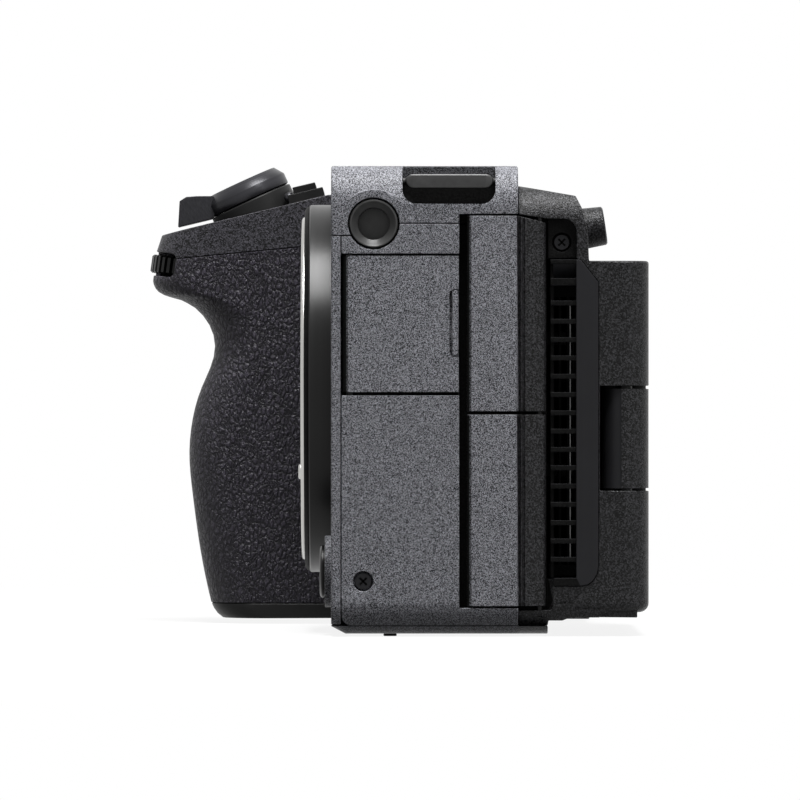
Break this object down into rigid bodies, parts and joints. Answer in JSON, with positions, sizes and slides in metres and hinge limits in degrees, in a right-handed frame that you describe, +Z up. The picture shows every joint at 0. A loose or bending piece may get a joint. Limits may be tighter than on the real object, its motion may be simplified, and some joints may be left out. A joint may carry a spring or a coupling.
{
  "type": "cinema camera",
  "caption": "Compact cinema camera body: lens bayonet, grip with dials, connector doors, vented side and swing-out screen.",
  "frame": {"origin": "mouth of the tripod thread in the base, under the lens axis", "axes": "+Z up, -Y towards the subject along the lens axis, +X towards the connector side"},
  "size_m": [0.1297, 0.0851, 0.0798],
  "materials": {
    "body_paint": "fine-textured paint on magnesium",
    "dark_casing": "coarse-textured dark paint",
    "smooth_black": "smooth black moulding",
    "rubber": "leather-grained grip rubber",
    "steel": "brushed",
    "aluminium": "satin",
    "dark_metal": "black anodised",
    "gold": "plated",
    "board": "solder resist",
    "lamp": "clear red window",
    "glass": "coated"
  },
  "bodies": {
    "camera": {"front_casing": "body_paint", "top_cover": "body_paint", "side_cover": "body_paint", "bottom_plate": "body_paint", "rear_casing": "dark_casing", "vent_frame": "smooth_black", "grip_core": "dark_casing", "grip_rubber": "rubber", "grip_top": "dark_casing", "grip_base": "dark_casing", "rear_panel": "dark_casing", "mount_ring": "smooth_black", "lens_flange": "steel", "lens_contacts": "gold", "sensor_frame": "smooth_black", "main_board": "board", "heat_sink": "aluminium", "fan_housing": "smooth_black", "port_sockets": "steel", "strap_bars": "dark_metal", "thread_inserts": "steel", "accessory_shoe": "dark_metal", "tally_lamps": "lamp", "battery": "smooth_black", "card_reader": "steel", "screws": "dark_metal", "rubber_feet": "rubber", "hinge_pins": "steel"},
    "screen": {"hinge_arm": "dark_casing", "panel_back": "dark_casing", "panel_front": "smooth_black", "screen_glass": "glass"},
    "sensor_x": {"sensor_stage": "aluminium"},
    "sensor_z": {"sensor_carrier": "aluminium", "sensor_glass": "glass"},
    "joystick": {"joystick": "rubber", "joystick_stem": "steel"},
    "mic_door": {"mic_door": "body_paint"},
    "upper_door": {"upper_door": "body_paint"},
    "lower_door": {"lower_door": "body_paint"},
    "card_door": {"card_door": "dark_casing"},
    "battery_door": {"battery_door": "dark_casing"},
    "battery_latch": {"battery_latch": "smooth_black"},
    "release_button": {"release_button": "dark_metal"},
    "lock_pin": {"lock_pin": "steel"},
    "zoom_lever": {"zoom_lever": "dark_metal"},
    "record_button": {"record_button": "dark_metal"},
    "front_dial": {"front_dial": "dark_metal"},
    "rear_dial": {"rear_dial": "dark_metal"},
    "control_wheel": {"control_wheel": "dark_metal"},
    "wheel_button": {"wheel_button": "smooth_black"},
    "joystick_gimbal": {"joystick_gimbal": "steel"},
    "power_switch": {"power_switch": "dark_metal"},
    "fan_impeller": {"fan_impeller": "smooth_black"},
    "menu_button": {"menu_button": "smooth_black"},
    "function_button": {"function_button": "smooth_black"},
    "play_button": {"play_button": "smooth_black"},
    "delete_button": {"delete_button": "smooth_black"},
    "top_button_left": {"top_button_left": "dark_metal"},
    "top_button_right": {"top_button_right": "dark_metal"}
  },
  "joints": [
    {"name": "screen_swing", "type": "hinge", "parent": "camera", "child": "screen", "pos_m": [0.03915, 0.036, 0.0323], "axis": [0, 0, -1], "range_deg": [0, 176]},
    {"name": "mic_door_hinge", "type": "hinge", "parent": "camera", "child": "mic_door", "pos_m": [0.0439, -0.00955, 0.0512], "axis": [0, 0, -1], "range_deg": [0, 90]},
    {"name": "upper_door_hinge", "type": "hinge", "parent": "camera", "child": "upper_door", "pos_m": [0.0421, 0.0219, 0.053], "axis": [0, 0, 1], "range_deg": [0, 90]},
    {"name": "lower_door_hinge", "type": "hinge", "parent": "camera", "child": "lower_door", "pos_m": [0.0421, 0.0219, 0.0205], "axis": [0, 0, 1], "range_deg": [0, 90]},
    {"name": "card_door_hinge", "type": "hinge", "parent": "camera", "child": "card_door", "pos_m": [-0.0836, 0.0071, 0.037], "axis": [0, 0, 1], "range_deg": [0, 90]},
    {"name": "battery_door_hinge", "type": "hinge", "parent": "camera", "child": "battery_door", "pos_m": [-0.0549, -0.0055, 0.00175], "axis": [0, -1, 0], "range_deg": [0, 90]},
    {"name": "battery_latch_slide", "type": "slide", "parent": "battery_door", "child": "battery_latch", "axis": [0, 1, 0], "range_m": [0, 0.005]},
    {"name": "release_press", "type": "slide", "parent": "camera", "child": "release_button", "axis": [0, 1, 0], "range_m": [0, 0.0013], "stiffness_N_per_m": 1500, "springref_m": -0.0005},
    {"name": "lock_pin_slide", "type": "slide", "parent": "camera", "child": "lock_pin", "axis": [0, 1, 0], "range_m": [0, 0.0013]},
    {"name": "zoom_turn", "type": "hinge", "parent": "camera", "child": "zoom_lever", "pos_m": [-0.061, -0.0282, 0.0754], "axis": [0, -0.4163, 0.9092], "range_deg": [-20, 20], "stiffness_Nm_per_rad": 0.03},
    {"name": "record_press", "type": "slide", "parent": "camera", "child": "record_button", "axis": [0, 0.4163, -0.9092], "range_m": [0, 0.0006], "stiffness_N_per_m": 900, "springref_m": -0.0005},
    {"name": "front_dial_turn", "type": "hinge", "parent": "camera", "child": "front_dial", "pos_m": [-0.062, -0.035, 0.06136], "axis": [0, 0.1392, 0.9903], "continuous": true},
    {"name": "rear_dial_turn", "type": "hinge", "parent": "camera", "child": "rear_dial", "pos_m": [-0.07, 0.022, 0.0692], "axis": [0, 0, 1], "continuous": true},
    {"name": "wheel_turn", "type": "hinge", "parent": "camera", "child": "control_wheel", "pos_m": [-0.063, 0.0319, 0.027], "axis": [0, 1, 0], "continuous": true},
    {"name": "wheel_button_press", "type": "slide", "parent": "camera", "child": "wheel_button", "axis": [0, -1, 0], "range_m": [0, 0.0006], "stiffness_N_per_m": 900, "springref_m": -0.0005},
    {"name": "joystick_tilt_up", "type": "hinge", "parent": "camera", "child": "joystick_gimbal", "pos_m": [-0.051, 0.02817, 0.06802], "axis": [1, 0, 0], "range_deg": [-8, 8], "stiffness_Nm_per_rad": 0.02},
    {"name": "joystick_tilt_side", "type": "hinge", "parent": "joystick_gimbal", "child": "joystick", "pos_m": [-0.051, 0.02817, 0.06802], "axis": [0, -0.1478, 0.989], "range_deg": [-8, 8], "stiffness_Nm_per_rad": 0.02},
    {"name": "power_turn", "type": "hinge", "parent": "camera", "child": "power_switch", "pos_m": [-0.075, -0.004, 0.0759], "axis": [0, 0, 1], "range_deg": [0, 30]},
    {"name": "sensor_shift_x", "type": "slide", "parent": "camera", "child": "sensor_x", "axis": [1, 0, 0], "range_m": [-0.0015, 0.0015], "stiffness_N_per_m": 400},
    {"name": "sensor_shift_z", "type": "slide", "parent": "sensor_x", "child": "sensor_z", "axis": [0, 0, 1], "range_m": [-0.0015, 0.0015], "stiffness_N_per_m": 400},
    {"name": "fan_spin", "type": "hinge", "parent": "camera", "child": "fan_impeller", "pos_m": [0.0135, 0.0247, 0.038], "axis": [0, 1, 0], "continuous": true},
    {"name": "menu_button_press", "type": "slide", "parent": "camera", "child": "menu_button", "axis": [0, -1, 0], "range_m": [0, 0.0005], "stiffness_N_per_m": 700, "springref_m": -0.0005},
    {"name": "function_button_press", "type": "slide", "parent": "camera", "child": "function_button", "axis": [0, -1, 0], "range_m": [0, 0.0005], "stiffness_N_per_m": 700, "springref_m": -0.0005},
    {"name": "play_button_press", "type": "slide", "parent": "camera", "child": "play_button", "axis": [0, -1, 0], "range_m": [0, 0.0005], "stiffness_N_per_m": 700, "springref_m": -0.0005},
    {"name": "delete_button_press", "type": "slide", "parent": "camera", "child": "delete_button", "axis": [0, -1, 0], "range_m": [0, 0.0005], "stiffness_N_per_m": 700, "springref_m": -0.0005},
    {"name": "top_button_left_press", "type": "slide", "parent": "camera", "child": "top_button_left", "axis": [0, 0.2331, -0.9724], "range_m": [0, 0.0005], "stiffness_N_per_m": 700, "springref_m": -0.0005},
    {"name": "top_button_right_press", "type": "slide", "parent": "camera", "child": "top_button_right", "axis": [0, 0.2331, -0.9724], "range_m": [0, 0.0005], "stiffness_N_per_m": 700, "springref_m": -0.0005}
  ],
  "couplings": [
    {"joint": "lock_pin_slide", "follows": "release_press", "ratio": 1}
  ]
}
